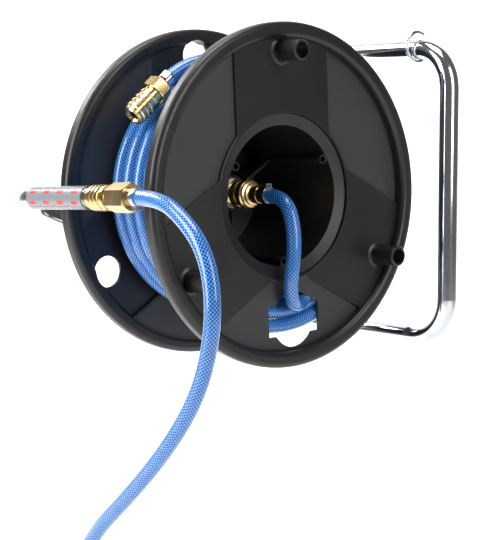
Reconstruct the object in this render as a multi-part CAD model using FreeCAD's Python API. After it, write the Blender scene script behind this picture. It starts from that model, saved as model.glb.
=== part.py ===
import FreeCAD, Part

import math
import os

os.makedirs("parts", exist_ok=True)

Vector = FreeCAD.Vector
Rotation = FreeCAD.Rotation

# Compressed-air hose reel, in millimetres. Everything is drawn about the drum's axis: the axis
# lies along Y, the rear rim plane is Y = 0, the front is -Y and +Z is up. The parts are then moved
# so that the origin is on the centreline of the frame's upright crosspiece, level with the axis.

# ---- driving dimensions ---------------------------------------------------------------------

# drum
flange_radius = 155.0
drum_width = 144.0
rim_band = 14.5          # radial width of the rolled rim
rim_fillet = 5.0
rim_proud = 1.0          # how far the roll stands into the winding space
band_drop = 8.0          # from the rim plane to the raised bands
relief = 3.0             # step from the raised bands down to the three panels
wall = 3.0               # moulded wall
band_half_width = 54.0
pattern_angle = -3.0     # first peg, clockwise from straight up, seen from the front
core_radius = 85.0       # outside of the winding core
hub_mouth_inset = 21.5   # hub's mouth inside the winding core
hub_taper = 7.5          # the cup's mouth radius less its bottom radius
hub_bottom_depth = 119.0  # from the front rim plane to the cup's rear wall
hub_lip_width = 10.7
hub_lip_bevel = 3.0
hub_ridge_width = 3.5
seat_gap = 0.3           # moulded parts that seat in each other
small_fillet = 1.0

# pegs, holes and window
peg_inset = 26.2         # peg circle inside the flange's edge
peg_radius = 9.35
peg_bore = 7.0
peg_length = 28.0        # from the raised band
peg_foot = 12.5
hand_hole_radius = 14.6
window_offset = 28.0     # window's centre outside the winding core
window_width = 60.0
window_height = 27.7
window_lobe = 25.4
window_shift = 6.0

# hub bearing
boss_wall = 5.45
boss_length = 36.0
rib_thickness = 3.0
screw_boss_radius = 4.0
screw_inset = 4.0        # screw circle inside the hub's mouth
screw_shank = 2.0
screw_head = 2.6
screw_socket = 2.5       # across the flats
screw_gap = 0.2
screw_head_height = 2.4
screw_boss_drop = 1.0    # below the lip's bevel
screw_head_depth = 70.0  # from the screw tube's mouth down to the screw's seat
screw_length = 36.0
bush_wall = 2.0
bush_flange_width = 2.45
bush_flange = 1.5
bush_length = 12.0
running_gap = 0.05
end_float = 0.4
washer_thickness = 1.2
collar_wall = 4.5
collar_length = 4.0

# frame tube
tube_radius = 9.5
tube_bore = 7.5
crosspiece_gap = 9.5     # rim to the upright crosspiece
crosspiece_front = 26.0  # crosspiece in front of the front rim plane
rear_plane = 42.0        # rear tubes behind the rear rim plane
upper_arm = 137.0
lower_arm = 142.0
front_bend = 39.0
rear_bend = 36.0
axle_bend = 34.0
grip_gap = 11.5          # rim to the grip's tube
grip_drop = 3.0
grip_rise = 2.0          # degrees, upward toward the front
grip_run = 127.0         # from the rear corner to the tube's front end
grip_wall = 0.8
grip_start = 38.0
grip_length = 87.0

# wire hook on the upper arm and plug in the lower arm
wire_radius = 1.8
hook_back = 42.0         # behind the crosspiece
hook_gap = 2.7           # loop of wire round the arm
hook_lift = 2.4
hook_start = 150.0       # degrees, where the foot meets the loop, right of the tube's underside
hook_sweep = 228.0
hook_tip = 4.0
hook_seat_wall = 0.2     # wall left under the foot
plug_back = 44.0
plug_head = 4.6
plug_dome = 1.4
plug_shank = 3.0
plug_angle = 30.0        # degrees above horizontal, facing the drum

# hose and its fittings
hose_radius = 6.75
hose_wall = 2.0
layer_count = 2
winding_gap = 0.05       # core to the first layer
flange_gap = 0.4         # flange to the outermost turns
stub_start = 215.0       # degrees, the third layer's short stretch next to the front flange
stub_end = 149.0
tail_last_angle = 8.0    # where the last turn leaves the winding for the coupler
tail_corners = 5
tail_lift = 0.9
tail_run = 37.0
barb_gap = 0.05
barb_length = 16.0
barb_ribs = 4
barb_rib = 0.5
barb_wall = 1.0
clamp_wall = 1.0
clamp_width = 7.0
clamp_gap = 0.1
clamp_ear = 3.2
clamp_inset = 1.0

# swivel on the axle's end
hex_across = 24.0
stem_hex = 6.0
stem_neck = 6.5
stem_reach = 24.0
stem_spigot = 14.0
seal_section = 0.79
seal_groove = 1.6
rotor_radius = 13.5
rotor_length = 33.0
rotor_bore_depth = 24.6

# quick coupler, along its own axis from the mouth
coupler_bore = 5.1
coupler_flare = 1.5      # the bore's mouth wider than the bore
coupler_barrel = 8.5
sleeve_wall = 2.7        # at its ridges
sleeve_gap = 0.1
sleeve_length = 26.0
sleeve_travel = 4.0
coupler_hex_across = 22.0
coupler_hex_start = 31.0
end_hex_length = 12.0
inlet_hex_length = 26.0
coupler_shoulder = 0.95  # behind the spring, above the barrel
coupler_step = 24.2
spring_start = 16.2      # its front end with the sleeve pulled back
ridge_height = 1.2
ridge_pitch = 5.4
ridge_count = 3
ball_count = 6
ball_radius = 1.5
ball_depth = 9.0
ball_locked = 1.0        # ring of balls outside the bore, in a nipple's groove
ball_open = 1.6          # with nothing in the coupler
nipple_gap = 0.1
nipple_length = 18.0
nipple_collar = 4.0
nipple_hole = 2.6
nipple_hex_across = 17.0
nipple_hex_length = 9.0
tail_collar = 1.8
tail_collar_inset = 1.0   # its edge inside the barrel's

# end coupler, lying on the winding
end_angle = -41.0        # degrees from straight up, toward the grip
end_gap = 2.65            # sleeve above the winding's second layer
end_depth = 53.5         # in front of the rear rim plane

# ---- derived places -------------------------------------------------------------------------

hose_diameter = 2 * hose_radius
hose_bore = hose_radius - hose_wall
barb_bore = hose_bore - barb_gap - barb_rib - barb_wall
coil_inner = core_radius + winding_gap
coil_outer = coil_inner + layer_count * hose_diameter
stub_radius = coil_outer + hose_radius
sleeve_radius = coupler_barrel + sleeve_gap + sleeve_wall
coupler_lead = coupler_bore + coupler_flare
tail_collar_radius = coupler_barrel - tail_collar_inset
coupler_step_radius = coupler_barrel + coupler_shoulder
ball_ring_locked = coupler_bore + ball_locked
ball_ring_open = coupler_bore + ball_open
nipple_pin = coupler_bore - nipple_gap
end_radius = coil_outer + end_gap + sleeve_radius
window_radius = core_radius + window_offset
peg_circle = flange_radius - peg_inset
hub_mouth_radius = core_radius - hub_mouth_inset
hub_bottom_radius = hub_mouth_radius - hub_taper
hub_lip_radius = hub_mouth_radius + hub_lip_width
screw_circle = hub_mouth_radius - screw_inset
bush_radius = tube_radius + running_gap + bush_wall
bush_flange_radius = bush_radius + bush_flange_width
boss_radius = bush_radius + boss_wall
collar_radius = tube_radius + collar_wall
wall_side = flange_radius + crosspiece_gap + tube_radius
grip_side = flange_radius + grip_gap + tube_radius
hook_loop = tube_radius + hook_gap + wire_radius
hook_seat = tube_bore + hook_seat_wall
front = -drum_width
band_face = front + band_drop
panel_face = band_face + relief
panel_inside = panel_face + wall
rear_inside = -(band_drop + relief + wall)
rim_depth = band_drop + relief + wall + rim_proud
rim_inner = flange_radius - rim_band
cross_y = front - crosspiece_front
cup_bottom = front + hub_bottom_depth
cup_back = cup_bottom + wall
boss_front = cup_bottom - boss_length + wall
lip_face = panel_face
lip_back = lip_face + hub_lip_bevel + 1.0
seat_radius = hub_mouth_radius + wall + seat_gap
screw_mouth = lip_face + hub_lip_bevel + screw_boss_drop
screw_seat = screw_mouth + screw_head_depth
coil_front = panel_inside + flange_gap
coil_rear = rear_inside - flange_gap
home = Vector(-wall_side, -cross_y, 0)


# ---- helpers --------------------------------------------------------------------------------

def clock(angle, radius, y=0.0):
    """A point at an angle clockwise from straight up, seen from the front."""
    turn = math.radians(angle)
    return Vector(radius * math.sin(turn), y, radius * math.cos(turn))


def turned(profile, axis=Vector(0, 1, 0)):
    """Revolve a closed outline of (radius, y) points about the Y axis."""
    points = [Vector(radius, y, 0) for radius, y in profile]
    face = Part.Face(Part.makePolygon(points + points[:1]))
    return face.revolve(Vector(0, 0, 0), axis, 360)


def tube(outer, inner, y_low, y_high):
    """A straight tube along Y."""
    return turned([(inner, y_low), (outer, y_low), (outer, y_high), (inner, y_high)])


def rod(radius, y_low, y_high):
    """A straight solid rod along Y."""
    return Part.makeCylinder(radius, y_high - y_low, Vector(0, y_low, 0), Vector(0, 1, 0))


def hexagon(across, y_low, y_high, inner=0.0):
    """A hexagonal nut along Y with lightly turned corners."""
    corner = across / math.sqrt(3)
    points = [clock(60 * step, corner, y_low) for step in range(6)]
    prism = Part.Face(Part.makePolygon(points + points[:1])).extrude(Vector(0, y_high - y_low, 0))
    bevel = corner - across / 2
    turned_blank = turned([
        (0, y_low), (corner - bevel, y_low), (corner, y_low + bevel * 0.6),
        (corner, y_high - bevel * 0.6), (corner - bevel, y_high), (0, y_high)])
    nut = prism.common(turned_blank)
    if inner:
        nut = nut.cut(rod(inner, y_low - 1, y_high + 1))
    return nut


def torus(section, centre_radius, y):
    """An O-ring about the Y axis."""
    return Part.makeTorus(centre_radius, section, Vector(0, y, 0), Vector(0, 1, 0))


def rounded_ring(outer, inner, y_low, y_high, radius):
    """A ring with all four of its edges rounded."""
    ring = tube(outer, inner, y_low, y_high)
    rims = [edge for edge in ring.Edges if edge.isClosed()]
    return ring.makeFillet(radius, rims)


def path(points, radius=None):
    """Straight runs joined by tangent arcs; with no radius, each arc is as large as its runs allow."""
    edges = []
    radii = []
    last = points[0]
    for before, corner, after in zip(points, points[1:], points[2:]):
        run_in = corner - before
        run_out = after - corner
        half = run_in.getAngle(run_out) / 2
        bend = radius if radius else 0.45 * min(run_in.Length, run_out.Length) / math.tan(half)
        run_in.normalize()
        run_out.normalize()
        cut = bend * math.tan(half)
        start = corner - run_in * cut
        end = corner + run_out * cut
        inward = (run_out - run_in).normalize()
        middle = corner + inward * (bend / math.cos(half) - bend)
        edges.append(Part.LineSegment(last, start).toShape())
        edges.append(Part.Arc(start, middle, end).toShape())
        radii.append(bend)
        last = end
    edges.append(Part.LineSegment(last, points[-1]).toShape())
    return Part.Wire(edges), radii


def sweep(wire, points, radius):
    """A round bar along a path that starts at the first of its points."""
    circle = Part.Wire(Part.makeCircle(radius, points[0], points[1] - points[0]))
    return wire.makePipeShell([circle], True, False)


def cord(name, points):
    """A hose along its route, with its volume and radii printed."""
    wire, radii = path(points)
    solid = sweep(wire, points, hose_radius)
    expected = math.pi * hose_radius ** 2 * wire.Length
    bends = ", ".join(f"{bend:.0f}" for bend in radii)
    print(f"{name}: {wire.Length:.0f} long, arc radii {bends}, volume ratio {solid.Volume / expected:.4f}")
    return solid


def bore_end(solid, point, inward):
    """Open the hose's bore where a barb enters it."""
    depth = barb_length + barb_gap
    return solid.cut(Part.makeCylinder(hose_bore, depth, point, inward))


def aimed(shape, place, direction):
    """Move a piece drawn along -Y so that its front faces the direction and its zero is the place."""
    turn = Rotation(Vector(0, -1, 0), direction)
    moved = shape.copy()
    moved.Placement = FreeCAD.Placement(place, turn).multiply(moved.Placement)
    return moved


def ear_clamp(y_low):
    """A one-ear clamp round the hose, with its pinched ear."""
    inner = hose_radius + clamp_gap
    band = tube(inner + clamp_wall, inner, y_low, y_low + clamp_width)
    ear = Part.makeBox(2 * clamp_ear, clamp_width, clamp_ear,
                       Vector(-clamp_ear, y_low, inner + clamp_wall / 2))
    hollow = Part.makeBox(2 * clamp_ear - 2 * clamp_wall, clamp_width, clamp_ear - 2 * clamp_wall,
                          Vector(-clamp_ear + clamp_wall, y_low, inner + clamp_wall * 1.2))
    return band.fuse(ear).removeSplitter().cut(hollow)


def save(name, shape):
    """Write one node in the row's frame."""
    placed = shape.copy()
    placed.translate(home)
    placed.exportStep(f"parts/{name}.step")


def save_aimed(names_and_shapes, place, direction):
    for name, shape in names_and_shapes.items():
        save(name, aimed(shape, place, direction))


# ---- drum -----------------------------------------------------------------------------------

def panel_region(grow, y_low, y_high):
    """The three kite-shaped panels between the raised bands."""
    half = band_half_width - grow
    ridge = hub_lip_radius + seat_gap + hub_ridge_width
    region = tube(rim_inner + wall, ridge - grow, y_low, y_high)
    for step in range(3):
        band = Part.makeBox(2 * half, y_high - y_low + 2, flange_radius, Vector(-half, y_low - 1, 0))
        band.rotate(Vector(0, 0, 0), Vector(0, 1, 0), pattern_angle + 120 * step)
        region = region.cut(band)
    return region


def flange_blank():
    """Rim, raised bands, panels, hub ridge and the core's spigot, with the rim plane toward -Y."""
    lip_seat = hub_lip_radius + seat_gap
    ridge = lip_seat + hub_ridge_width
    spigot_radius = core_radius - wall - seat_gap
    spigot_end = panel_inside + wall
    rim = rounded_ring(flange_radius, rim_inner, front, front + rim_depth, rim_fillet)
    web = tube(rim_inner + wall, lip_seat, band_face, panel_face)
    web = web.cut(panel_region(0, band_face - 1, panel_face + 1))
    panels = panel_region(wall, panel_face, panel_inside)
    rise = tube(ridge, lip_seat, band_face, panel_inside)
    core_seat = tube(core_radius, lip_seat, panel_face, panel_inside)
    spigot = tube(spigot_radius, lip_seat, panel_inside, spigot_end)
    ledge = tube(spigot_radius, seat_radius, lip_back, spigot_end)
    return rim.multiFuse([web, panels, rise, core_seat, spigot, ledge]).removeSplitter()


def window_cut(y_low, y_high):
    """The hose window: a rectangle with a round lobe above and below."""
    block = Part.makeBox(window_width, y_high - y_low, window_height,
                         Vector(-window_width / 2, y_low, -window_height / 2))
    lobe = rod(window_lobe, y_low, y_high)
    shape = block.fuse(lobe)
    shape.translate(Vector(window_shift, 0, -window_radius))
    shape.rotate(Vector(0, 0, 0), Vector(0, 1, 0), pattern_angle)
    return shape


def front_flange():
    body = flange_blank()
    peg_profile = [
        (0, band_face + wall), (peg_foot, band_face + wall), (peg_foot, band_face),
        (peg_radius + 0.8, band_face - 1.2), (peg_radius, band_face - 4),
        (peg_radius, band_face - peg_length + small_fillet),
        (peg_radius - small_fillet, band_face - peg_length), (0, band_face - peg_length)]
    for step in range(3):
        centre = clock(pattern_angle + 120 * step, peg_circle)
        peg = turned(peg_profile)
        bore = rod(peg_bore, band_face - peg_length - 1, band_face + wall + 1)
        peg.translate(centre)
        bore.translate(centre)
        body = body.fuse(peg).cut(bore)
    body = body.cut(window_cut(front - 1, panel_inside + wall + 1))
    return body.removeSplitter()


def rear_flange():
    """The same moulding turned to face the wall side, with hand holes and screw lugs."""
    body = flange_blank()
    body = body.mirror(Vector(0, front / 2, 0), Vector(0, 1, 0))
    for step in range(3):
        hole = rod(hand_hole_radius, rear_inside - 10, 1)
        hole.translate(clock(pattern_angle + 120 * step, peg_circle + 1.2))
        body = body.cut(hole)
    shelf = tube(seat_radius + wall, hub_bottom_radius - wall, cup_back, cup_back + wall)
    collar = tube(seat_radius + wall, seat_radius, cup_back, -band_drop)
    body = body.multiFuse([shelf, collar])
    for step in range(3):
        lug = rod(screw_boss_radius, cup_back, cup_back + 3 * wall)
        lug.translate(clock(screw_angle(step), screw_circle))
        hole = rod(screw_shank, cup_back - 1, cup_back + 2 * wall)
        hole.translate(clock(screw_angle(step), screw_circle))
        body = body.fuse(lug).cut(hole)
    return body.removeSplitter()


def screw_angle(step):
    return pattern_angle + 60 + 120 * step


def drum_core():
    return tube(core_radius, core_radius - wall, panel_inside, rear_inside)


def hub_cup():
    """The deep liner of the hub: bevelled lip, tapering wall, rear wall, bearing boss and ribs."""
    slope = (hub_mouth_radius - hub_bottom_radius) / (cup_bottom - lip_back)
    shell = turned([
        (hub_mouth_radius, lip_back), (hub_mouth_radius, lip_face + hub_lip_bevel),
        (hub_lip_radius, lip_face), (hub_lip_radius, lip_back), (hub_mouth_radius + wall, lip_back),
        (hub_bottom_radius + wall - slope * wall, cup_back), (0, cup_back),
        (0, cup_bottom), (hub_bottom_radius, cup_bottom)])
    added = [rod(boss_radius, boss_front, cup_bottom)]
    removed = [rod(bush_radius, boss_front - 1, cup_back + 1)]
    for step in range(3):
        rib = Part.makeBox(rib_thickness, cup_bottom - boss_front, screw_circle,
                           Vector(-rib_thickness / 2, boss_front, 0))
        boss, bore, shank = screw_boss()
        for piece in (rib, boss, bore, shank):
            piece.rotate(Vector(0, 0, 0), Vector(0, 1, 0), screw_angle(step))
        added.extend([rib, boss])
        removed.extend([bore, shank])
    return shell.multiFuse(added).cut(removed).removeSplitter()


def screw_boss():
    """A long screw tube, straight above the axis and webbed to the cup's wall, and its two bores."""
    length = cup_back - screw_mouth
    centre = Vector(0, 0, screw_circle)
    boss = rod(screw_boss_radius, screw_mouth, cup_back)
    bore = rod(screw_head + screw_gap, screw_mouth - 1, screw_seat)
    shank = rod(screw_shank + screw_gap, screw_seat - 1, cup_back + 1)
    for piece in (boss, bore, shank):
        piece.translate(centre)
    web = Part.makeBox(2 * screw_boss_radius, length, hub_mouth_radius + wall / 2 - screw_circle,
                       Vector(-screw_boss_radius, screw_mouth, screw_circle))
    return boss.fuse(web), bore, shank


def hub_screws():
    """Three screws, deep in the cup's tubes, that draw the drum together."""
    screws = []
    for step in range(3):
        top = screw_seat - screw_head_height
        head = rod(screw_head, top, screw_seat)
        socket = hexagon(screw_socket, top - 1, top + screw_head_height / 2)
        shank = rod(screw_shank - running_gap, screw_seat, screw_seat + screw_length)
        screw = head.cut(socket).fuse(shank)
        screw.translate(clock(screw_angle(step), screw_circle))
        screws.append(screw)
    return Part.makeCompound(screws)


def axle_bush(face, outward):
    """A flanged bush in the boss; outward is -1 at the front of the boss and +1 at the back."""
    inner = tube_radius + running_gap
    tip = face - outward * bush_length
    lip = face + outward * bush_flange
    sleeve = tube(bush_radius, inner, min(face, tip), max(face, tip))
    flange = tube(bush_flange_radius, inner, min(face, lip), max(face, lip))
    return sleeve.fuse(flange).removeSplitter()


def drum():
    save("front_flange", front_flange())
    save("rear_flange", rear_flange())
    save("drum_core", drum_core())
    save("hub_cup", hub_cup())
    save("hub_screws", hub_screws())
    save("front_axle_bush", axle_bush(boss_front, -1))
    save("rear_axle_bush", axle_bush(cup_back, 1))


# ---- frame ----------------------------------------------------------------------------------

grip_heading = Vector(0, -math.cos(math.radians(grip_rise)), math.sin(math.radians(grip_rise)))
grip_corner = Vector(-grip_side, rear_plane, -grip_drop)
grip_end = grip_corner + grip_heading * grip_run
rear_stop = cup_back + bush_flange + washer_thickness + end_float
front_stop = boss_front - bush_flange - washer_thickness - end_float
tube_front = front_stop


def frame_tube():
    """One bent air-carrying tube: axle, upper arm, crosspiece, lower arm and grip."""
    corners = [
        (Vector(0, rear_plane, 0), axle_bend),
        (Vector(wall_side, rear_plane, upper_arm), rear_bend),
        (Vector(wall_side, cross_y, upper_arm), front_bend),
        (Vector(wall_side, cross_y, -lower_arm), front_bend),
        (Vector(wall_side, rear_plane, -lower_arm), rear_bend),
        (grip_corner, rear_bend)]
    start = Vector(0, tube_front, 0)
    edges = []
    stops = [start] + [corner for corner, bend in corners] + [grip_end]
    last = start
    for index, (corner, bend) in enumerate(corners):
        wire, radii = path([last, corner, stops[index + 2]], bend)
        edges.extend(wire.Edges[:2])
        last = wire.Edges[1].lastVertex(True).Point
    edges.append(Part.LineSegment(last, grip_end).toShape())
    wire = Part.Wire(edges)
    outer = sweep(wire, [start, corners[0][0]], tube_radius)
    inner = sweep(wire, [start, corners[0][0]], tube_bore)
    expected = math.pi * tube_radius ** 2 * wire.Length
    print(f"frame tube: {wire.Length:.0f} long, volume ratio {outer.Volume / expected:.4f}")
    foot_hole, knee = hook_foot(wire_radius + running_gap)
    return outer.cut(inner).cut(plug_hole()).cut(foot_hole)


def plug_place():
    """Centre of the lower arm at the plug, and the way the plug faces."""
    tilt = math.radians(plug_angle)
    centre = Vector(wall_side, cross_y + plug_back, -lower_arm)
    return centre, Vector(-math.cos(tilt), 0, math.sin(tilt))


def plug_hole():
    centre, facing = plug_place()
    return Part.makeCylinder(plug_shank + running_gap, tube_radius + 1, centre, facing)


def arm_plug():
    """A domed rubber plug in the lower arm."""
    centre, facing = plug_place()
    top = -tube_radius - plug_dome
    skirt = -tube_radius + plug_dome
    cap = turned([(0, top), (plug_head * 0.7, top + 0.2 * plug_dome),
                  (plug_head, -tube_radius), (plug_head, skirt), (0, skirt)])
    stem = rod(plug_shank, -tube_radius, -tube_bore + 1)
    arm = Part.makeCylinder(tube_radius, 4 * plug_head, Vector(0, 0, -2 * plug_head), Vector(0, 0, 1))
    plug = cap.cut(arm).fuse(stem).removeSplitter()
    plug.Placement = FreeCAD.Placement(centre, aim_pair(facing))
    return plug


def aim_pair(facing):
    """Turn -Y to the facing direction and keep Z along the arm."""
    side = facing.cross(Vector(0, 1, 0))
    return Rotation(side, facing.negative(), Vector(0, 1, 0), "YZX")


def hook_foot(radius):
    """The radial foot of the hook, from its seat in the arm's wall out to the loop."""
    arm = Vector(wall_side, cross_y + hook_back, upper_arm)
    knee = arm + Vector(0, 0, hook_lift) + clock(hook_start, hook_loop)
    outward = (knee - arm).normalize()
    foot = Part.makeCylinder(radius, (knee - arm).Length - hook_seat, arm + outward * hook_seat, outward)
    return foot, knee


def hose_hook():
    """Bent wire hook round the upper arm, open at the top, with its foot fixed in the arm."""
    centre = Vector(wall_side, cross_y + hook_back, upper_arm + hook_lift)
    hook_end = hook_start + hook_sweep
    begin = centre + clock(hook_start, hook_loop)
    middle = centre + clock(hook_start + hook_sweep / 2, hook_loop)
    finish = centre + clock(hook_end, hook_loop)
    loop = Part.Arc(begin, middle, finish).toShape()
    tip = Part.LineSegment(finish, finish + clock(hook_end + 90, hook_tip)).toShape()
    circle = Part.Wire(Part.makeCircle(wire_radius, begin, clock(hook_start + 90, 1)))
    bar = Part.Wire([loop, tip]).makePipeShell([circle], True, False)
    foot, knee = hook_foot(wire_radius)
    return bar.multiFuse([foot, Part.makeSphere(wire_radius, knee)]).removeSplitter()


def frame():
    save("frame_tube", frame_tube())
    grip = aimed(tube(tube_radius + grip_wall, tube_radius, -grip_length, 0),
                 grip_corner + grip_heading * grip_start, grip_heading)
    save("grip_sleeve", grip)
    save("hose_hook", hose_hook())
    save("arm_plug", arm_plug())
    inner = tube_radius + running_gap
    rear_face = cup_back + bush_flange + end_float / 2
    front_face = boss_front - bush_flange - end_float / 2 - washer_thickness
    for name, face in (("rear_thrust_washer", rear_face), ("front_thrust_washer", front_face)):
        save(name, tube(bush_flange_radius, inner, face, face + washer_thickness))
    save("axle_collar", tube(collar_radius, tube_radius, rear_stop, rear_stop + collar_length))


# ---- fittings -------------------------------------------------------------------------------

def hose_tail(collar, y_face, collar_length):
    """A barbed hose tail: a collar, then a ribbed barb pointing to -Y, with a bore right through."""
    outline = [(0, y_face + collar_length), (collar, y_face + collar_length), (collar, y_face)]
    barb = hose_bore - barb_gap
    step = barb_length / barb_ribs
    for index in range(barb_ribs):
        outline.append((barb, y_face - index * step))
        outline.append((barb - barb_rib, y_face - (index + 1) * step))
    outline.append((0, y_face - barb_length))
    return turned(outline).cut(rod(barb_bore, y_face - barb_length - 1, y_face + collar_length + 1))


def swivel():
    """Rotary joint on the axle's end: a fixed stem, and a rotor that turns with the drum."""
    hex_front = tube_front - stem_hex
    stem_end = hex_front - stem_reach
    stem = hexagon(hex_across, hex_front, tube_front)
    stem = stem.fuse(rod(tube_bore, tube_front, tube_front + stem_spigot))
    stem = stem.fuse(rod(stem_neck, stem_end, hex_front))
    grooves = [hex_front - 8, hex_front - 15]
    for groove in grooves:
        stem = stem.cut(tube(stem_neck + 1, stem_neck - seal_groove, groove - 1.2, groove + 1.2))
    clip = hex_front - 4
    stem = stem.cut(tube(stem_neck + 1, stem_neck - 1.2, clip - 0.6, clip + 0.6))
    stem = stem.cut(rod(3.5, stem_end - 1, tube_front + stem_spigot + 1))
    save("swivel_stem", stem.removeSplitter())

    seal_circle = stem_neck - seal_groove + seal_section
    seals = [torus(seal_section, seal_circle, groove) for groove in grooves]
    save("swivel_seals", Part.makeCompound(seals))
    ring = tube(stem_neck + 2.2, stem_neck - 1.1, clip - 0.5, clip + 0.5)
    gap = Part.makeBox(4, 3, 20, Vector(-2, clip - 1.5, 0))
    save("swivel_circlip", ring.cut(gap))

    back = hex_front - end_float
    nose = back - rotor_length
    outline = [
        (stem_neck + running_gap, back), (rotor_radius - 1.5, back), (rotor_radius - 1.0, back - 1.0),
        (rotor_radius - 1.0, back - 7), (rotor_radius - 3.2, back - 7.6),
        (rotor_radius - 3.2, back - 10), (rotor_radius - 0.6, back - 10.4),
        (rotor_radius, back - 11.4), (rotor_radius, back - 17), (rotor_radius - 1.4, back - 18),
        (rotor_radius - 1.4, back - 20), (rotor_radius - 3.4, back - 20.6),
        (rotor_radius - 3.4, back - 23), (rotor_radius - 5.4, back - 23.6),
        (rotor_radius - 5.4, nose), (barb_bore, nose), (barb_bore, back - rotor_bore_depth),
        (stem_neck + running_gap, back - rotor_bore_depth)]
    rotor = turned(outline)
    pocket = tube(stem_neck + 2.6, stem_neck, back - 4.4, back - 2.8)
    save("swivel_rotor", rotor.cut(pocket))
    save("hub_hose_tail", hose_tail(rotor_radius - 5.8, nose - 3, 3))
    save("hub_hose_clamp", ear_clamp(nose - 3 - clamp_inset - clamp_width))
    return Vector(0, nose - 3, 0)


def coupler_reach(hex_length):
    """From a coupler's mouth to the hose's end."""
    return coupler_hex_start + hex_length + tail_collar


def coupler_pieces(prefix, hex_length, ball_ring):
    """A quick coupler drawn with its mouth at zero and facing -Y; its hose end is toward +Y."""
    hex_end = coupler_hex_start + hex_length
    body = turned([
        (coupler_lead, 0), (coupler_barrel - 0.6, 0), (coupler_barrel, 0.6),
        (coupler_barrel, coupler_step), (coupler_step_radius, coupler_step),
        (coupler_step_radius, coupler_hex_start), (coupler_barrel - 1, coupler_hex_start + 1),
        (coupler_barrel - 1, hex_end - 2), (coupler_bore + 0.8, hex_end - 2),
        (coupler_bore + 0.8, 20), (coupler_bore, 20), (coupler_bore, 2.5)])
    body = body.fuse(hexagon(coupler_hex_across, coupler_hex_start, hex_end, coupler_barrel - 1.5))
    balls = []
    for index in range(ball_count):
        angle = 360 / ball_count * (index + 0.5)
        start = clock(angle, coupler_bore - 1, ball_depth)
        outward = clock(angle, 1)
        body = body.cut(Part.makeCylinder(ball_radius + running_gap, coupler_barrel, start, outward))
        balls.append(Part.makeSphere(ball_radius, clock(angle, ball_ring, ball_depth)))
    inner = coupler_barrel + sleeve_gap
    pocket = spring_start - sleeve_travel - 0.2
    low = sleeve_radius - ridge_height
    outline = [(inner, 0.6), (sleeve_radius - 2.0, 0.6), (low, 1.4)]
    for index in range(ridge_count):
        y = 4.0 + ridge_pitch * index
        outline.extend([(low, y), (sleeve_radius, y + 0.8), (sleeve_radius, y + 3.4), (low, y + 4.2)])
    tail = 0.6 + sleeve_length
    outline.extend([(low, tail - 4.5), (sleeve_radius - 0.3, tail - 3.6),
                    (sleeve_radius - 0.3, tail - 0.6), (sleeve_radius - 1, tail),
                    (inner + 1.2, tail), (inner + 1.2, pocket), (inner, pocket)])
    sleeve = turned(outline)
    spring = tube(coupler_step_radius, inner, spring_start, coupler_step)
    seal = torus(1.0, coupler_bore - 0.25, 21.5)
    valve = turned([(coupler_bore + 0.7, 22.8), (coupler_bore + 0.7, 26), (2.5, 26), (1.0, 24.5),
                    (1.0, 22.8)])
    hose_face = coupler_reach(hex_length)
    tail_piece = coupler_tail()
    tail_piece.translate(Vector(0, hose_face, 0))
    clamp = ear_clamp(hose_face + clamp_inset)
    return {
        f"{prefix}_coupler_body": body.removeSplitter(),
        f"{prefix}_coupler_sleeve": sleeve,
        f"{prefix}_coupler_spring": spring,
        f"{prefix}_coupler_balls": Part.makeCompound(balls),
        f"{prefix}_coupler_seal": seal,
        f"{prefix}_coupler_valve": valve,
        f"{prefix}_hose_tail": tail_piece,
        f"{prefix}_hose_clamp": clamp}


def coupler_tail():
    """The hose tail behind a coupler or nipple, with its collar's back at zero and its barb to +Y."""
    tail = hose_tail(tail_collar_radius, 0, tail_collar)
    return tail.mirror(Vector(0, 0, 0), Vector(0, 1, 0))


def nipple(face):
    """A plug nipple drawn with its collar's back at face and its pin toward -Y."""
    pin_start = face - nipple_collar
    tip = pin_start - nipple_length
    outline = [
        (0, face), (coupler_barrel, face), (coupler_barrel, pin_start), (nipple_pin, pin_start),
        (nipple_pin, pin_start - 6.4), (nipple_pin - 1.4, pin_start - 7.4),
        (nipple_pin - 1.4, pin_start - 9.6), (nipple_pin, pin_start - 10.6),
        (nipple_pin, tip + 2.4), (nipple_pin - 1.2, tip), (0, tip)]
    return turned(outline).cut(rod(nipple_hole, tip - 1, face + 1))


def inlet():
    """The nipple in the grip's end, the coupler pushed onto it, and the supply hose's clamp."""
    stem = nipple(0).fuse(tube(tube_bore, nipple_hole, 0, stem_spigot)).removeSplitter()
    save("inlet_nipple", aimed(stem, grip_end, grip_heading))
    mouth = grip_end + grip_heading * (nipple_collar + nipple_gap)
    back = grip_heading.negative()
    save_aimed(coupler_pieces("inlet", inlet_hex_length, ball_ring_locked), mouth, back)
    return mouth + grip_heading * coupler_reach(inlet_hex_length)


def end_coupler():
    """The coupler on the free end of the drum's hose, lying along the winding."""
    middle = clock(end_angle, end_radius, -end_depth)
    turn = math.radians(end_angle)
    heading = Vector(-math.cos(turn), 0, math.sin(turn))
    mouth = middle + heading * (coupler_hex_start + end_hex_length / 2)
    save_aimed(coupler_pieces("end", end_hex_length, ball_ring_open), mouth, heading)
    return mouth - heading * coupler_reach(end_hex_length), heading


# ---- hoses ----------------------------------------------------------------------------------

# The supply hose hangs from the inlet coupler in the grip's upright plane. Its points are
# (forward, up) of the coupler's hose end; the first run follows the coupler.
supply_route = [
    (36, 1), (70, -16), (94, -38), (105, -70), (102, -112), (82, -158), (40, -206),
    (-12, -252), (-62, -292), (-92, -334), (-104, -380)]

# The hose from the swivel to the window. Its points are (sideways, forward, up) of the swivel's
# hose end; the last lies inside the winding.
hub_route = [
    (0, 0, 0), (0, 15.5, 0), (-1, 34, -6), (-2, 43.5, -24), (-2, 45.5, -48), (-4, 44.5, -68),
    (-4, 42.5, -82), (1, 39.5, -95), (13, 32.5, -100), (25, 23.5, -98)]


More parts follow.
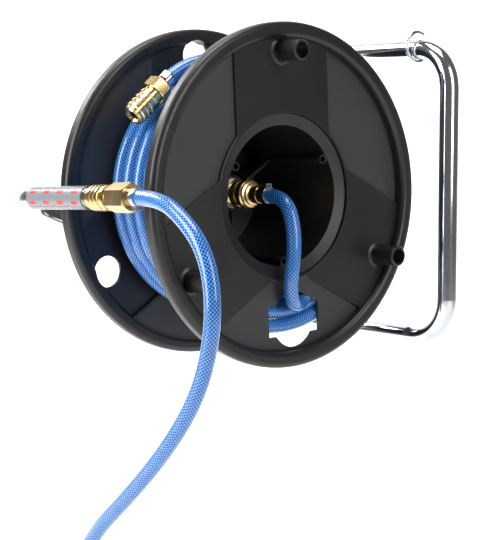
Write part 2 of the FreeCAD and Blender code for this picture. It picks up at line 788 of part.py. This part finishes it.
def supply_hose(exit_point):
    """The hose that brings the air, with a bored end at each fitting."""
    points = [exit_point, exit_point + grip_heading * supply_route[0][0]]
    points += [exit_point + Vector(0, -forward, up) for forward, up in supply_route[1:]]
    hose = cord("supply_hose", points)
    hose = bore_end(hose, points[0], points[1] - points[0])
    hose = bore_end(hose, points[-1], points[-2] - points[-1])
    save("supply_hose", hose)
    return points[-1], (points[-1] - points[-2]).normalize()


def supply_end(end, heading):
    """Barb, clamp and plug nipple on the supply hose's free end."""
    nut_face = -tail_collar - nipple_hex_length
    body = hexagon(nipple_hex_across, nut_face, -tail_collar, nipple_hole)
    body = body.fuse(nipple(nut_face)).removeSplitter()
    save_aimed({"supply_hose_tail": coupler_tail(), "supply_hose_clamp": ear_clamp(clamp_inset),
                "supply_plug_nipple": body}, end, heading)


def hub_hose(start):
    """The hose from the swivel, over the hub's lip and in at the window."""
    points = [start + Vector(side, -forward, up) for side, forward, up in hub_route]
    hose = cord("hub_hose", points)
    save("hub_hose", bore_end(hose, points[0], points[1] - points[0]))


def hose_coil():
    """The wound hose as one solid: the full layers and the short stretch of a third."""
    coil = tube(coil_outer, coil_inner, coil_front, coil_rear)
    low = coil_outer - 0.5
    high = coil_outer + hose_diameter
    near = coil_front
    far = coil_front + hose_diameter
    corners = [Vector(low, near, 0), Vector(high, near, 0), Vector(high, far, 0), Vector(low, far, 0)]
    face = Part.Face(Part.makePolygon(corners + corners[:1]))
    stub = face.revolve(Vector(0, 0, 0), Vector(0, 1, 0), stub_start - stub_end)
    stub.rotate(Vector(0, 0, 0), Vector(0, 1, 0), stub_end - 90)
    save("hose_coil", coil.fuse(stub).removeSplitter())


def hose_end(end_point, heading):
    """The last turn: it leaves the front flange, crosses the winding and meets the end coupler."""
    stub_y = coil_front + hose_radius
    step = (stub_end - tail_last_angle) / (tail_corners - 0.5)
    points = [clock(stub_end, stub_radius, stub_y)]
    for index in range(tail_corners):
        lift = tail_lift if index else 0
        corner_radius = (stub_radius + lift) / math.cos(math.radians(step / 2))
        y = stub_y + (-end_depth - stub_y) * (index / tail_corners) ** 1.3
        points.append(clock(stub_end - step * (index + 0.5), corner_radius, y))
    points.append(end_point - heading * tail_run)
    points.append(end_point)
    hose = cord("hose_end", points)
    save("hose_end", bore_end(hose, points[-1], points[-2] - points[-1]))


if __name__ == "__main__":
    drum()
    frame()
    hub_hose(swivel())
    hose_coil()
    supply_end(*supply_hose(inlet()))
    hose_end(*end_coupler())
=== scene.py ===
import math

import bmesh
import bpy
from mathutils import Matrix, Vector


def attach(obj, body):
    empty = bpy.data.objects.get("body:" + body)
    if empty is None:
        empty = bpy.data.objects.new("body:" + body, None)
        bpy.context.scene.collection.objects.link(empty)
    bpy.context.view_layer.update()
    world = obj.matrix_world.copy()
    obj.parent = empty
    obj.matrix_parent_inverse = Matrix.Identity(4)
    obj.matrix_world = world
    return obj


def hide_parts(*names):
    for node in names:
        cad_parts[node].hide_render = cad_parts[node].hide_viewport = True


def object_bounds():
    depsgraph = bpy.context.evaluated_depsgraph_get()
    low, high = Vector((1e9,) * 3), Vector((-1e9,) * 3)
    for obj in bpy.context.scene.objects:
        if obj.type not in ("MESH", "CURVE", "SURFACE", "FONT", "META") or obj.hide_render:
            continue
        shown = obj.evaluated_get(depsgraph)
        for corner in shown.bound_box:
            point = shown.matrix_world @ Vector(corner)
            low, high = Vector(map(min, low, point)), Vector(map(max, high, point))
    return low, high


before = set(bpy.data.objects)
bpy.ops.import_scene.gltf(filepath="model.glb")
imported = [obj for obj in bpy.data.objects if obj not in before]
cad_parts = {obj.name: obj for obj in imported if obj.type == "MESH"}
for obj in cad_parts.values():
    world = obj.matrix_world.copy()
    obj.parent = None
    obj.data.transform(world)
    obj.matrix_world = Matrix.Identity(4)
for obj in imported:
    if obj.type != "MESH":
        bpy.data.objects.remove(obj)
cad_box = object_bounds()

# Camera: a long lens in front of the drum and well to its left, a little above the axle. Its view
# runs down the drum's front face at an angle and takes in the whole reel.
right = Vector((0.77475, -0.63227, 0.0))
up = Vector((0.05740, 0.07034, 0.99587))
forward = Vector((0.62966, 0.77155, -0.09079))
camera_place = (-1.04715, -0.96743, 0.05434)
camera_data = bpy.data.cameras.new("camera")
camera_data.lens = 98.56
camera = bpy.data.objects.new("camera", camera_data)
camera.matrix_world = Matrix.Translation(camera_place) @ Matrix(
    (right, up, -forward)).transposed().to_4x4()
bpy.context.collection.objects.link(camera)
bpy.context.scene.camera = camera

# Supply hose: clear blue PVC, 13.5 mm across, extruded over a braid of pale yarns. It is pushed on
# the inlet coupler's barb under a clamp at the grip's front end, bends over and hangs down past
# the drum to its plug nipple.
hose_radius = 0.00675


def linear(code):
    """A hex colour as linear red, green, blue and alpha."""
    parts = [int(code[index:index + 2], 16) / 255 for index in (0, 2, 4)]
    return [part / 12.92 if part <= 0.04045 else ((part + 0.055) / 1.055) ** 2.4
            for part in parts] + [1.0]


def node(tree, kind, inputs=None, **settings):
    """Add a node; an input is a number, a hex colour, one output, or a node's first output."""
    made = tree.nodes.new("ShaderNode" + kind)
    for name, value in settings.items():
        setattr(made, name, value)
    for socket, value in (inputs or {}).items():
        if isinstance(value, bpy.types.Node):
            value = value.outputs[0]
        if isinstance(value, bpy.types.NodeSocket):
            tree.links.new(value, made.inputs[socket])
        else:
            made.inputs[socket].default_value = linear(value) if isinstance(value, str) else value
    return made


def new_material(name, values):
    """A principled material with its main settings; returns it, its tree and its shader."""
    made = bpy.data.materials.new(name)
    made.use_nodes = True
    shader = made.node_tree.nodes["Principled BSDF"]
    for socket, value in values.items():
        shader.inputs[socket].default_value = value
    return made, made.node_tree, shader


# The braid is drawn in the tube's own coordinates, in metres along it and in turns round it: 13
# yarns each way, 3.2 mm apart, which is coarser than the real 2 mm so that it shows.
def braided_pvc():
    made, tree, shader = new_material("braided_pvc", {
        "Roughness": 0.28, "Coat Weight": 1.0, "Coat Roughness": 0.07, "IOR": 1.53})
    yarn_pitch = 0.0032
    yarns_round = 13.0
    yarn_flat = 0.08
    yarn_edge = 0.24
    place = node(tree, "TexCoord")
    split = node(tree, "SeparateXYZ", {0: place.outputs["UV"]})
    along = node(tree, "Math", {0: split.outputs[0], 1: yarn_pitch}, operation="DIVIDE")
    around = node(tree, "Math", {0: split.outputs[1], 1: yarns_round}, operation="MULTIPLY")
    yarns = []
    for lean in ("ADD", "SUBTRACT"):
        phase = node(tree, "Math", {0: along, 1: around}, operation=lean)
        phase = node(tree, "Math", {0: phase}, operation="FRACT")
        centred = node(tree, "Math", {0: phase, 1: 0.5}, operation="SUBTRACT")
        centred = node(tree, "Math", {0: centred}, operation="ABSOLUTE")
        yarns.append(node(tree, "MapRange", {
            0: centred, 1: yarn_flat, 2: yarn_edge, 3: 1.0, 4: 0.0}))
    braid = node(tree, "Math", {0: yarns[0], 1: yarns[1]}, operation="MAXIMUM")
    crossing = node(tree, "Math", {0: yarns[0], 1: yarns[1]}, operation="MULTIPLY")
    tone = node(tree, "Mix", {0: braid, 6: "012078", 7: "1E84DA"}, data_type="RGBA").outputs[2]
    tone = node(tree, "Mix", {0: crossing, 6: tone, 7: "86CCF6"}, data_type="RGBA").outputs[2]
    tree.links.new(tone, shader.inputs["Base Color"])
    bump = node(tree, "Bump", {"Strength": 0.35, "Distance": 0.0003, "Height": braid})
    tree.links.new(bump.outputs[0], shader.inputs["Normal"])
    return made


blue_hose = braided_pvc()


def route_points(name, points):
    """The points of a smooth line that has the route's points as its control points."""
    curve = bpy.data.curves.new(name, "CURVE")
    curve.dimensions = "3D"
    curve.resolution_u = 6
    spline = curve.splines.new("NURBS")
    spline.points.add(len(points) - 1)
    for control, point in zip(spline.points, points):
        control.co = (*point, 1)
    spline.order_u = 3
    spline.use_endpoint_u = True
    line = bpy.data.objects.new(name, curve)
    bpy.context.collection.objects.link(line)
    evaluated = line.evaluated_get(bpy.context.evaluated_depsgraph_get())
    mesh = bpy.data.meshes.new_from_object(evaluated)
    found = [vertex.co.copy() for vertex in mesh.vertices]
    bpy.data.objects.remove(line)
    bpy.data.meshes.remove(mesh)
    bpy.data.curves.remove(curve)
    return found


def hose(name, line, body, sides=20):
    """A tube along a line, with metric coordinates along it and turns round it."""
    shape = bmesh.new()
    metric = shape.loops.layers.uv.new("metric")
    heading = (line[1] - line[0]).normalized()
    across = heading.orthogonal().normalized()
    rings = []
    lengths = [0.0]
    for index, point in enumerate(line):
        before = line[max(index - 1, 0)]
        after = line[min(index + 1, len(line) - 1)]
        turned = (after - before).normalized()
        across = (across - turned * across.dot(turned)).normalized()
        other = turned.cross(across)
        ring = []
        for side in range(sides):
            turn = 2 * math.pi * side / sides
            offset = across * math.cos(turn) + other * math.sin(turn)
            ring.append(shape.verts.new(point + offset * hose_radius))
        rings.append(ring)
        if index:
            lengths.append(lengths[-1] + (point - line[index - 1]).length)
    for index in range(len(rings) - 1):
        for side in range(sides):
            following = (side + 1) % sides
            face = shape.faces.new((rings[index][side], rings[index][following],
                                    rings[index + 1][following], rings[index + 1][side]))
            face.smooth = True
            corners = ((index, side), (index, side + 1), (index + 1, side + 1), (index + 1, side))
            for loop, (row, column) in zip(face.loops, corners):
                loop[metric].uv = (lengths[row], column / sides)
    for ring in (rings[0], rings[-1]):
        shape.faces.new(ring)
    bmesh.ops.recalc_face_normals(shape, faces=shape.faces)
    mesh = bpy.data.meshes.new(name)
    shape.to_mesh(mesh)
    shape.free()
    piece = bpy.data.objects.new(name, mesh)
    bpy.context.collection.objects.link(piece)
    mesh.materials.append(blue_hose)
    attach(piece, body)
    return piece


supply_x = -0.350
supply_route = [
    (0.0222, 0.0036), (-0.0138, 0.0049), (-0.0478, -0.0124), (-0.0718, -0.0344),
    (-0.0828, -0.0664), (-0.0798, -0.1084), (-0.0598, -0.1544), (-0.0178, -0.2024),
    (0.0342, -0.2484), (0.0842, -0.2884), (0.1142, -0.3304), (0.1262, -0.3764)]
supply_line = route_points("supply_route", [Vector((supply_x, y, z)) for y, z in supply_route])
supply = hose("supply_tube", supply_line, "frame")
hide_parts("supply_hose")

# Drum hose: the same braided PVC. It runs from the swivel over the hub's lip and in at the window,
# is wound in two full layers on the core and one turn of a third beside the front flange, and
# crosses the winding to the end coupler, where a clamp holds it on its barb.
axis_x = -0.174
axis_y = 0.170
turn_step = 22.5
corner_reach = 1 / math.cos(math.radians(turn_step / 2))


def on_drum(angle, radius, y):
    """A point at an angle clockwise from the top, seen from the front; y from the rear rim."""
    turn = math.radians(angle)
    return Vector((axis_x + radius * math.sin(turn), axis_y + y, radius * math.cos(turn)))


def winding(first_angle, last_angle, start_radius, end_radius, start_y, end_y):
    """Turns of hose with 16 control points a turn; the first two points climb to the layer."""
    count = round((first_angle - last_angle) / turn_step)
    points = []
    for index in range(count):
        share = index / count
        angle = first_angle + (last_angle - first_angle) * share
        radius = start_radius + (end_radius - start_radius) * min(1.0, index / 2)
        points.append(on_drum(angle, radius * corner_reach, start_y + (end_y - start_y) * share))
    return points


hub_route = [
    (-0.174, 0.0665, 0.0), (-0.174, 0.0510, 0.0), (-0.175, 0.0325, -0.006),
    (-0.176, 0.0230, -0.024), (-0.176, 0.0210, -0.048), (-0.178, 0.0220, -0.068),
    (-0.178, 0.0240, -0.082), (-0.173, 0.0270, -0.095), (-0.161, 0.0340, -0.100),
    (-0.149, 0.0430, -0.098)]
first_layer = 0.0918
second_layer = 0.1053
third_layer = 0.1188
front_turn = -0.12285
rear_turn = -0.02115
window_angle = 150
rear_angle = -2510
front_angle = -4825
climb_angle = -4915
third_angle = -5271
drum_route = [Vector(point) for point in hub_route]
drum_route += winding(window_angle, rear_angle, first_layer, first_layer, front_turn, rear_turn)
drum_route += winding(rear_angle, front_angle, first_layer, second_layer, rear_turn, front_turn)
drum_route += winding(front_angle, climb_angle, second_layer, second_layer, front_turn, front_turn)
drum_route += winding(climb_angle, third_angle, second_layer, third_layer, front_turn, front_turn)

crossing_angles = (133.3, 102.0, 70.7, 39.3, 8.0)
crossing_reach = 1 / math.cos(math.radians(15.67))
crossing_lift = 0.0009
crossing_end = -0.0535
crossing_ease = 1.3
for index, angle in enumerate(crossing_angles):
    lift = crossing_lift if index else 0.0
    share = (index / len(crossing_angles)) ** crossing_ease
    depth = front_turn + (crossing_end - front_turn) * share
    drum_route.append(on_drum(angle, (third_layer + lift) * crossing_reach, depth))

coupler_axis = Vector((-0.75471, 0.0, -0.656059))
coupler_mouth = Vector((-0.284588, 0.1165, 0.070819))
mouth_to_hose = 0.0448
straight_end = 0.037
hose_end = coupler_mouth - coupler_axis * mouth_to_hose
drum_route += [hose_end - coupler_axis * straight_end, hose_end]
drum_line = route_points("drum_route", drum_route)
drum_hose = hose("drum_tube", drum_line, "drum", 16)
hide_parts("hub_hose", "hose_coil", "hose_end")


# Drum mouldings: two flanges, the winding core and the hub cup, injection moulded in black ABS.
# The raised bands and rims came from polished steel and look darker; the three panels from a
# spark-eroded one, which leaves them a greyer satin. The two share one mould texture.
def coat(surface, *names):
    """Give a material to CAD nodes."""
    for name in names:
        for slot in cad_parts[name].material_slots:
            slot.material = surface


def moulded_black():
    made, tree, shader = new_material("moulded_black_abs", {
        "IOR": 1.52, "Specular IOR Level": 0.5})
    band_half_width = 0.054
    band_angles = (-3.0, 117.0, 237.0)
    face_outer = 0.1395
    hub_edge = 0.0765
    edge_radius = 0.0009
    polished_roughness = 0.30
    panel_roughness = 0.14
    flow_roughness = 0.12
    place = node(tree, "TexCoord")
    split = node(tree, "SeparateXYZ", {0: place.outputs["Object"]})
    across = node(tree, "Math", {0: split.outputs[0], 1: axis_x}, operation="SUBTRACT")
    height = split.outputs[2]
    across_squared = node(tree, "Math", {0: across, 1: across}, operation="MULTIPLY")
    height_squared = node(tree, "Math", {0: height, 1: height}, operation="MULTIPLY")
    squared = node(tree, "Math", {0: across_squared, 1: height_squared}, operation="ADD")
    radius = node(tree, "Math", {0: squared}, operation="SQRT")
    band = 0.0
    for angle in band_angles:
        sine = math.sin(math.radians(angle))
        cosine = math.cos(math.radians(angle))
        out_across = node(tree, "Math", {0: across, 1: sine}, operation="MULTIPLY")
        out_height = node(tree, "Math", {0: height, 1: cosine}, operation="MULTIPLY")
        outward = node(tree, "Math", {0: out_across, 1: out_height}, operation="ADD")
        side_across = node(tree, "Math", {0: across, 1: cosine}, operation="MULTIPLY")
        side_height = node(tree, "Math", {0: height, 1: sine}, operation="MULTIPLY")
        aside = node(tree, "Math", {0: side_across, 1: side_height}, operation="SUBTRACT")
        aside = node(tree, "Math", {0: aside}, operation="ABSOLUTE")
        within = node(tree, "Math", {0: aside, 1: band_half_width}, operation="LESS_THAN")
        this_side = node(tree, "Math", {0: outward, 1: 0.0}, operation="GREATER_THAN")
        inside = node(tree, "Math", {0: within, 1: this_side}, operation="MULTIPLY")
        band = node(tree, "Math", {0: inside, 1: band}, operation="MAXIMUM")
    under_rim = node(tree, "Math", {0: radius, 1: face_outer}, operation="LESS_THAN")
    past_hub = node(tree, "Math", {0: radius, 1: hub_edge}, operation="GREATER_THAN")
    face = node(tree, "Math", {0: under_rim, 1: past_hub}, operation="MULTIPLY")
    off_band = node(tree, "Math", {0: 1.0, 1: band}, operation="SUBTRACT")
    panel = node(tree, "Math", {0: face, 1: off_band}, operation="MULTIPLY")
    flow = node(tree, "TexNoise", {
        "Vector": place.outputs["Object"], "Scale": 22.0, "Detail": 3.0})
    grain = node(tree, "TexNoise", {
        "Vector": place.outputs["Object"], "Scale": 1400.0, "Detail": 2.0})
    polished = node(tree, "Mix", {0: flow, 6: "151415", 7: "1D1C1D"}, data_type="RGBA").outputs[2]
    satin = node(tree, "Mix", {0: flow, 6: "2B2B2C", 7: "333334"}, data_type="RGBA").outputs[2]
    tone = node(tree, "Mix", {0: panel, 6: polished, 7: satin}, data_type="RGBA").outputs[2]
    tree.links.new(tone, shader.inputs["Base Color"])
    panel_gloss = node(tree, "Math", {0: panel, 1: panel_roughness}, operation="MULTIPLY")
    flow_gloss = node(tree, "Math", {0: flow, 1: flow_roughness}, operation="MULTIPLY")
    gloss = node(tree, "Math", {0: panel_gloss, 1: flow_gloss}, operation="ADD")
    gloss = node(tree, "Math", {0: gloss, 1: polished_roughness}, operation="ADD")
    tree.links.new(gloss.outputs[0], shader.inputs["Roughness"])
    edge = node(tree, "Bevel", {"Radius": edge_radius}, samples=4)
    bump = node(tree, "Bump", {
        "Strength": 0.12, "Distance": 0.0002, "Height": grain, "Normal": edge})
    tree.links.new(bump.outputs[0], shader.inputs["Normal"])
    return made


coat(moulded_black(), "front_flange", "rear_flange", "drum_core", "hub_cup")


# Frame: one bent 19 mm steel tube, bright chromium plated, and the wire hook on its upper arm.
# Plating mirrors the studio; only faint wiping marks and a slight waviness break it up.
def metal(name, low, high, roughness, spread, grain):
    """A bare or plated metal with patchy tone, uneven gloss and a fine surface."""
    made, tree, shader = new_material(name, {"Metallic": 1.0})
    place = node(tree, "TexCoord")
    patches = node(tree, "TexNoise", {
        "Vector": place.outputs["Object"], "Scale": 45.0, "Detail": 1.0})
    marks = node(tree, "TexNoise", {
        "Vector": place.outputs["Object"], "Scale": grain, "Detail": 1.0})
    tone = node(tree, "Mix", {0: patches, 6: low, 7: high}, data_type="RGBA").outputs[2]
    tree.links.new(tone, shader.inputs["Base Color"])
    uneven = node(tree, "Math", {0: marks, 1: spread}, operation="MULTIPLY")
    gloss = node(tree, "Math", {0: uneven, 1: roughness}, operation="ADD")
    tree.links.new(gloss.outputs[0], shader.inputs["Roughness"])
    bump = node(tree, "Bump", {"Strength": 0.012, "Distance": 0.0002, "Height": marks})
    tree.links.new(bump.outputs[0], shader.inputs["Normal"])
    return made


coat(metal("chromium_plate", "CFD2D6", "DCDFE2", 0.08, 0.06, 60.0), "frame_tube")
coat(metal("plated_wire", "CCD0D5", "DEE1E5", 0.10, 0.08, 120.0), "hose_hook")


# Grip: a printed vinyl sleeve shrunk on the tube. Pale grey with rows of short red dashes in three
# zones round it, 22.4 mm apart along it, and thin grey cell lines between the zones.
def printed_vinyl():
    made, tree, shader = new_material("printed_vinyl", {
        "Roughness": 0.36, "Coat Weight": 0.3, "Coat Roughness": 0.12, "IOR": 1.5})
    grip_middle = (-0.350, 0.212, -0.003)
    grip_slope = -2.0
    zone_count = 3
    zone_middle = 5.0
    pitch = 0.0224
    first_dash = 0.1708
    row_offset = 0.238
    dash_half_length = 0.23
    dash_half_width = 0.088
    line_place = 0.44
    line_half_width = 0.03
    dip_slope = 12.0
    dip_start = 5.0
    dip_depth = 0.10
    place = node(tree, "TexCoord")
    square = node(tree, "Mapping", {
        0: place.outputs["Object"], "Location": grip_middle,
        "Rotation": (math.radians(grip_slope), 0.0, 0.0)}, vector_type="TEXTURE")
    split = node(tree, "SeparateXYZ", {0: square})
    outward = node(tree, "Math", {0: split.outputs[0], 1: -1.0}, operation="MULTIPLY")
    turn = node(tree, "Math", {0: split.outputs[2], 1: outward}, operation="ARCTAN2")
    turn = node(tree, "Math", {0: turn, 1: math.radians(zone_middle)}, operation="SUBTRACT")
    zones = node(tree, "Math", {0: turn, 1: zone_count / (2 * math.pi)}, operation="MULTIPLY")
    zones = node(tree, "Math", {0: zones, 1: 0.5}, operation="ADD")
    zones = node(tree, "Math", {0: zones}, operation="FRACT")
    zones = node(tree, "Math", {0: zones, 1: 0.5}, operation="SUBTRACT")
    across = node(tree, "Math", {0: zones}, operation="ABSOLUTE")
    columns = node(tree, "Math", {0: split.outputs[1], 1: first_dash}, operation="ADD")
    columns = node(tree, "Math", {0: columns, 1: pitch}, operation="DIVIDE")
    columns = node(tree, "Math", {0: columns}, operation="FRACT")
    columns = node(tree, "Math", {0: columns, 1: 0.5}, operation="SUBTRACT")
    beside = node(tree, "Math", {0: columns}, operation="ABSOLUTE")
    dash_x = node(tree, "Math", {0: beside, 1: 1 / dash_half_length}, operation="MULTIPLY")
    dash_x = node(tree, "Math", {0: dash_x, 1: 4.0}, operation="POWER")
    dash_y = node(tree, "Math", {0: across, 1: row_offset}, operation="SUBTRACT")
    dash_y = node(tree, "Math", {0: dash_y, 1: 1 / dash_half_width}, operation="MULTIPLY")
    dash_y = node(tree, "Math", {0: dash_y}, operation="ABSOLUTE")
    dash_y = node(tree, "Math", {0: dash_y, 1: 4.0}, operation="POWER")
    dash = node(tree, "Math", {0: dash_x, 1: dash_y}, operation="ADD")
    dash = node(tree, "Math", {0: dash, 1: 1.0}, operation="LESS_THAN")
    dip = node(tree, "Math", {0: beside, 1: dip_slope}, operation="MULTIPLY")
    dip = node(tree, "Math", {0: dip, 1: dip_start}, operation="SUBTRACT")
    dip = node(tree, "Math", {0: dip, 1: 0.0}, operation="MAXIMUM")
    dip = node(tree, "Math", {0: dip, 1: dip_depth}, operation="MULTIPLY")
    wave = node(tree, "Math", {0: across, 1: dip}, operation="ADD")
    wave = node(tree, "Math", {0: wave, 1: line_place}, operation="SUBTRACT")
    wave = node(tree, "Math", {0: wave}, operation="ABSOLUTE")
    line = node(tree, "Math", {0: wave, 1: line_half_width}, operation="LESS_THAN")
    speckle = node(tree, "TexNoise", {
        "Vector": place.outputs["Object"], "Scale": 700.0, "Detail": 2.0})
    tone = node(tree, "Mix", {0: speckle, 6: "6C7074", 7: "888C90"}, data_type="RGBA").outputs[2]
    tone = node(tree, "Mix", {0: line, 6: tone, 7: "242628"}, data_type="RGBA").outputs[2]
    tone = node(tree, "Mix", {0: dash, 6: tone, 7: "C9101F"}, data_type="RGBA").outputs[2]
    tree.links.new(tone, shader.inputs["Base Color"])
    print_height = node(tree, "Math", {0: dash, 1: line}, operation="SUBTRACT")
    bump = node(tree, "Bump", {"Strength": 0.25, "Distance": 0.0002, "Height": print_height})
    tree.links.new(bump.outputs[0], shader.inputs["Normal"])
    return made


coat(printed_vinyl(), "grip_sleeve")

# Couplers, swivel and nipples: turned from brass bar and thinly nickel plated, which leaves a pale
# gold. Their sleeves are turned with raised ridges for the fingers.
coat(metal("plated_brass", "DAB674", "F0D8A8", 0.17, 0.10, 90.0),
     "swivel_stem", "swivel_rotor", "hub_hose_tail", "inlet_nipple", "inlet_coupler_body",
     "inlet_coupler_sleeve", "inlet_coupler_valve", "inlet_hose_tail", "supply_hose_tail",
     "supply_plug_nipple", "end_hose_tail", "end_coupler_body", "end_coupler_sleeve",
     "end_coupler_valve")

# Clamps, collar, springs, balls, ring and screws: stainless strip, spring steel and zinc plate,
# each a step duller than the chromium.
coat(metal("stainless_strip", "BEC2C7", "D4D7DB", 0.18, 0.12, 160.0),
     "inlet_hose_clamp", "supply_hose_clamp", "hub_hose_clamp", "end_hose_clamp", "axle_collar")
coat(metal("spring_steel", "8F9399", "A9ADB3", 0.24, 0.12, 200.0),
     "swivel_circlip", "inlet_coupler_spring", "inlet_coupler_balls", "end_coupler_spring",
     "end_coupler_balls")
coat(metal("zinc_plate", "A8ACB2", "C2C5C9", 0.30, 0.14, 200.0), "hub_screws")


# Bushes and washers of natural acetal, a waxy off-white, and rubber for the seals and the plug in
# the lower arm, matt black with a bloom on it.
def plain_moulding(name, low, high, roughness, grain):
    made, tree, shader = new_material(name, {"Roughness": roughness, "IOR": 1.5})
    place = node(tree, "TexCoord")
    bloom = node(tree, "TexNoise", {
        "Vector": place.outputs["Object"], "Scale": grain, "Detail": 4.0})
    tone = node(tree, "Mix", {0: bloom, 6: low, 7: high}, data_type="RGBA").outputs[2]
    tree.links.new(tone, shader.inputs["Base Color"])
    bump = node(tree, "Bump", {"Strength": 0.2, "Distance": 0.0002, "Height": bloom})
    tree.links.new(bump.outputs[0], shader.inputs["Normal"])
    return made


coat(plain_moulding("natural_acetal", "DEDACD", "ECE9DF", 0.42, 500.0),
     "rear_thrust_washer", "front_thrust_washer", "front_axle_bush", "rear_axle_bush")
coat(plain_moulding("seal_rubber", "131314", "232325", 0.62, 900.0),
     "swivel_seals", "inlet_coupler_seal", "end_coupler_seal", "arm_plug")


# Studio: a roll of pale paper that is the floor and sweeps up into the wall behind the reel. It
# glows faintly in a pool there, so that it comes out white, and four soft boxes light the reel.
def sweep_stage():
    floor_gap = 0.03
    half_width = 4.0
    near_end = -3.0
    bend_start = 1.2
    bend_radius = 1.0
    bend_steps = 12
    wall_height = 4.0
    pool_depth = 1.9
    pool_edge = 0.625
    pool_reach = 3.24
    pool_strength = 0.85
    shape = bmesh.new()
    depth = Vector((forward.x, forward.y, 0)).normalized()
    side = Vector((depth.y, -depth.x, 0))
    floor_z = cad_box[0][2] - floor_gap
    outline = [(near_end, 0.0), (bend_start, 0.0)]
    for step in range(1, bend_steps + 1):
        turn = math.pi / 2 * step / bend_steps
        outline.append((bend_start + bend_radius * math.sin(turn),
                        bend_radius - bend_radius * math.cos(turn)))
    outline.append((bend_start + bend_radius, wall_height))
    rows = []
    for along, height in outline:
        middle = Vector((axis_x, axis_y, floor_z + height)) + depth * along
        rows.append([shape.verts.new(middle + side * span) for span in (-half_width, half_width)])
    for low, high in zip(rows, rows[1:]):
        shape.faces.new((low[0], low[1], high[1], high[0])).smooth = True
    mesh = bpy.data.meshes.new("studio_sweep")
    shape.to_mesh(mesh)
    shape.free()
    made, tree, shader = new_material("pale_paper", {
        "Roughness": 0.9, "Specular IOR Level": 0.1, "Emission Color": linear("FFFFFF")})
    place = node(tree, "TexCoord")
    grain = node(tree, "TexNoise", {"Vector": place.outputs["Object"], "Scale": 60.0})
    tone = node(tree, "Mix", {0: grain, 6: "F6F6F6", 7: "FAFAFA"}, data_type="RGBA").outputs[2]
    tree.links.new(tone, shader.inputs["Base Color"])
    pool = Vector((axis_x, axis_y, floor_z)) + depth * pool_depth
    centred = node(tree, "Mapping", {
        0: place.outputs["Object"], "Location": (-pool.x, -pool.y, 0.0)})
    split = node(tree, "SeparateXYZ", {0: centred})
    x_squared = node(tree, "Math", {0: split.outputs[0], 1: 2.0}, operation="POWER")
    y_squared = node(tree, "Math", {0: split.outputs[1], 1: 2.0}, operation="POWER")
    squared = node(tree, "Math", {0: x_squared, 1: y_squared}, operation="ADD")
    distance = node(tree, "Math", {0: squared}, operation="SQRT")
    fading = node(tree, "Math", {0: distance, 1: pool_edge}, operation="DIVIDE")
    glow = node(tree, "Math", {0: pool_reach, 1: fading}, operation="SUBTRACT")
    glow = node(tree, "Math", {0: glow, 1: 0.0}, operation="MAXIMUM")
    glow = node(tree, "Math", {0: glow, 1: 1.0}, operation="MINIMUM")
    glow = node(tree, "Math", {0: glow, 1: pool_strength}, operation="MULTIPLY")
    tree.links.new(glow.outputs[0], shader.inputs["Emission Strength"])
    mesh.materials.append(made)
    piece = bpy.data.objects.new("studio_sweep", mesh)
    bpy.context.collection.objects.link(piece)


def soft_light(name, place, width, height, power):
    """A rectangular soft light at a place, aimed at the middle of the drum."""
    data = bpy.data.lights.new(name, "AREA")
    data.shape = "RECTANGLE"
    data.size = width
    data.size_y = height
    data.energy = power
    light = bpy.data.objects.new(name, data)
    aim = (Vector((axis_x, axis_y, 0.0)) - Vector(place)).to_track_quat("-Z", "Y")
    light.matrix_world = Matrix.Translation(place) @ aim.to_matrix().to_4x4()
    bpy.context.collection.objects.link(light)


sweep_stage()
soft_light("left_box", (-1.75, 0.43, 0.5), width=0.8, height=1.6, power=34)
soft_light("rear_box", (-0.75, 1.5, 1.2), width=0.9, height=0.7, power=20)
soft_light("right_box", (-0.01, -1.42, 0.6), width=0.6, height=1.4, power=14)
soft_light("overhead", (-0.3, 0.1, 1.6), width=1.0, height=0.8, power=18)
world = bpy.data.worlds.new("studio")
world.use_nodes = True
background = world.node_tree.nodes["Background"]
background.inputs["Color"].default_value = linear("F4F6FA")
background.inputs["Strength"].default_value = 0.16
bpy.context.scene.world = world
bpy.context.scene.view_settings.view_transform = "Standard"
